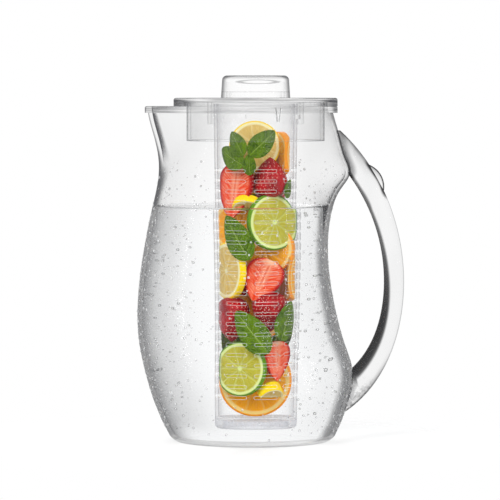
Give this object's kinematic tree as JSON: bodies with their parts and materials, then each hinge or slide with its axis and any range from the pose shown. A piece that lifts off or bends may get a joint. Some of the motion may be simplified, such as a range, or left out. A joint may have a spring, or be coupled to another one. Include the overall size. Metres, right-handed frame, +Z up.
{
  "type": "fruit infuser pitcher",
  "caption": "Clear acrylic pitcher with a spout and a bow handle, a knobbed lift-off lid, and a slotted tube of cut fruit and mint that twists into the lid to flavour the water.",
  "frame": {"origin": "where the lid's axis meets the table, at the middle of the foot", "axes": "+Z up along the lid and infuser axis, +X towards the handle, -X towards the spout"},
  "size_m": [0.1865, 0.1458, 0.2554],
  "materials": {
    "clear_acrylic": "clear moulded acrylic, polished",
    "handle_acrylic": "clear moulded acrylic, thick section",
    "smoke_acrylic": "clear acrylic with a faint grey tint",
    "tube_acrylic": "clear moulded acrylic with moulded slots",
    "lime": "wet lime flesh with a green rind",
    "lemon": "wet lemon flesh with a yellow rind",
    "orange": "wet orange flesh with a pale pith",
    "strawberry": "glossy seeded skin, pale heart where it is cut",
    "mint_leaf": "veined green leaf"
  },
  "bodies": {
    "pitcher": {"pitcher_body": "clear_acrylic", "handle": "handle_acrylic"},
    "lid": {"lid_plate": "clear_acrylic", "lid_knob": "clear_acrylic", "lid_skirt": "smoke_acrylic", "infuser_socket": "clear_acrylic"},
    "infuser": {"infuser_tube": "tube_acrylic", "mint_leaf_sprig_right": "mint_leaf", "mint_leaf_sprig_left": "mint_leaf", "mint_leaf_sprig_low": "mint_leaf", "mint_leaf_sprig_centre": "mint_leaf", "mint_leaf_edge": "mint_leaf", "mint_leaf_middle": "mint_leaf", "mint_leaf_right": "mint_leaf", "mint_leaf_low": "mint_leaf", "mint_leaf_back_high": "mint_leaf", "mint_leaf_back_low": "mint_leaf", "lime_slice_upper": "lime", "lime_slice_low": "lime", "lime_slice_back": "lime", "strawberry_half_upper": "strawberry", "strawberry_half_middle": "strawberry", "strawberry_half_low": "strawberry", "strawberry_upper": "strawberry", "strawberry_middle": "strawberry", "strawberry_left": "strawberry", "strawberry_back_low": "strawberry", "strawberry_back_high": "strawberry", "lemon_slice_left": "lemon", "lemon_half_upper": "lemon", "lemon_half_low": "lemon", "lemon_slice_top": "lemon", "lemon_slice_back_low": "lemon", "lemon_slice_back_high": "lemon", "orange_slice_top": "orange", "orange_slice_upper": "orange", "orange_slice_middle": "orange", "orange_slice_right": "orange", "orange_slice_low": "orange", "orange_slice_back": "orange"}
  },
  "joints": [
    {"name": "lid_lift", "type": "slide", "parent": "pitcher", "child": "lid", "axis": [0, 0, 1], "range_m": [0, 0.23]},
    {"name": "infuser_twist", "type": "hinge", "parent": "lid", "child": "infuser", "pos_m": [0, 0, 0.225], "axis": [0, 0, 1], "range_deg": [0, 60]}
  ]
}
